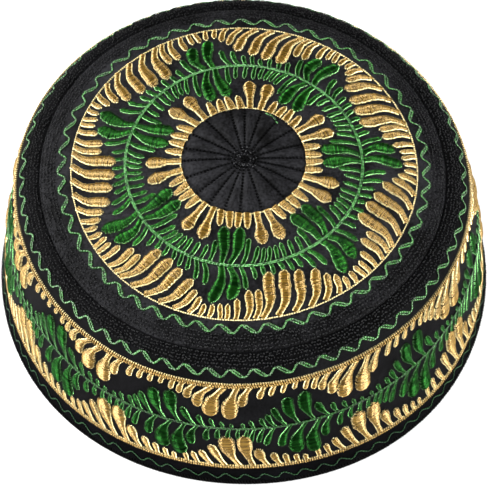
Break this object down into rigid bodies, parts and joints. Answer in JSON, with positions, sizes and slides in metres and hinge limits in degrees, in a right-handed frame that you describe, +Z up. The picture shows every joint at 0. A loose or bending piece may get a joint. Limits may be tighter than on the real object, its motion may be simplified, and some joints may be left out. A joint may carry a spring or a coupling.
{
  "type": "embroidered kufi cap",
  "caption": "Round brimless cloth cap with a gently domed crown, a quilted centre disc and a tall side wall, embroidered in gold and green leaf sprays on black",
  "frame": {"origin": "centre of the circle that the hem stands on", "axes": "+Z up along the cap's axis, from the hem to the pole of the crown; -Y is the front as worn and as pictured"},
  "size_m": [0.1826, 0.1832, 0.0771],
  "materials": {
    "crown_cloth": "black polyester and cotton twill, fine matt weave, embroidered in gold and green rayon satin stitch",
    "band_cloth": "black polyester and cotton twill, fine matt weave, embroidered in gold and green rayon satin stitch",
    "hem_cloth": "black twill with one dark green wavy line and an overlocked lower edge"
  },
  "bodies": {
    "root": {"crown_panel": "crown_cloth", "side_band": "band_cloth", "hem_strip": "hem_cloth"}
  },
  "joints": []
}
